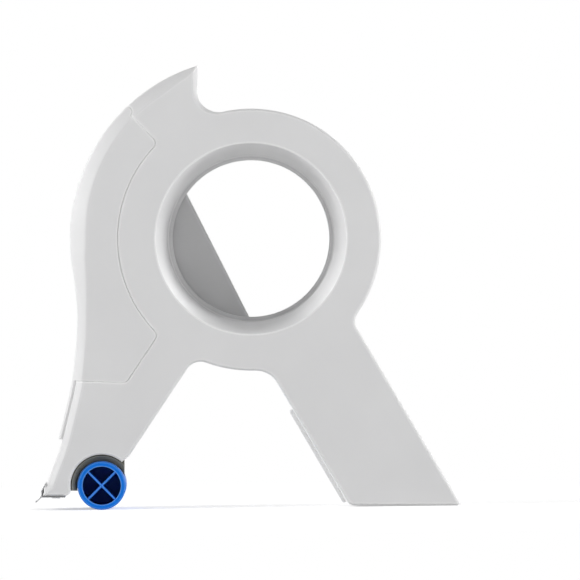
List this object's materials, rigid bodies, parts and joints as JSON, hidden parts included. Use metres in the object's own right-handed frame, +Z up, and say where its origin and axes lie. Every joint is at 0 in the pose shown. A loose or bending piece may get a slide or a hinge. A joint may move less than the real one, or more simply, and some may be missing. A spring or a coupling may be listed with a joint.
{
  "type": "masking tape dispenser",
  "caption": "Hand-held masking tape dispenser with a one-sided hub, hinged guard cover, pressing roller, serrated cutter and angled handle.",
  "frame": {"origin": "on the ground, under the middle of the tool as it stands on its roller and its handle", "axes": "+X from the cutter towards the handle, +Y from the side plate in along the hub, +Z up"},
  "size_m": [0.1602, 0.0596, 0.1667],
  "materials": {
    "white_plastic": "satin",
    "blue_plastic": "satin",
    "dark_plastic": "matt",
    "steel": "satin",
    "felt": "matt"
  },
  "bodies": {
    "frame": {"side_frame": "white_plastic", "drag_washer": "felt", "hub_end_ring": "white_plastic", "leg_cheek": "white_plastic", "roller_axle": "steel", "axle_snap_ring": "steel", "roller_guard": "dark_plastic", "cutter_blade": "steel", "blade_rivet_1": "steel", "blade_rivet_2": "steel", "handle_cover": "white_plastic", "grip_strip": "white_plastic", "cover_hinge_pin": "steel", "cheek_screw_1": "steel", "cheek_screw_2": "steel", "cheek_screw_3": "steel", "handle_screw_1": "steel", "handle_screw_2": "steel", "handle_screw_3": "steel"},
    "cover": {"guard_cover": "white_plastic", "cover_far_plate": "white_plastic", "far_plate_screw_1": "steel", "far_plate_screw_2": "steel", "far_plate_screw_3": "steel"},
    "core_wheel": {"core_wheel": "white_plastic"},
    "roller": {"roller": "blue_plastic"}
  },
  "joints": [
    {"name": "cover_hinge", "type": "hinge", "parent": "frame", "child": "cover", "pos_m": [-0.04347, 0, 0.14953], "axis": [0, 1, 0], "range_deg": [0, 60]},
    {"name": "core_wheel_spin", "type": "hinge", "parent": "frame", "child": "core_wheel", "pos_m": [0.00244, 0, 0.10129], "axis": [0, 1, 0], "continuous": true},
    {"name": "roller_spin", "type": "hinge", "parent": "frame", "child": "roller", "pos_m": [-0.05492, 0, 0.0091], "axis": [0, 1, 0], "continuous": true}
  ]
}
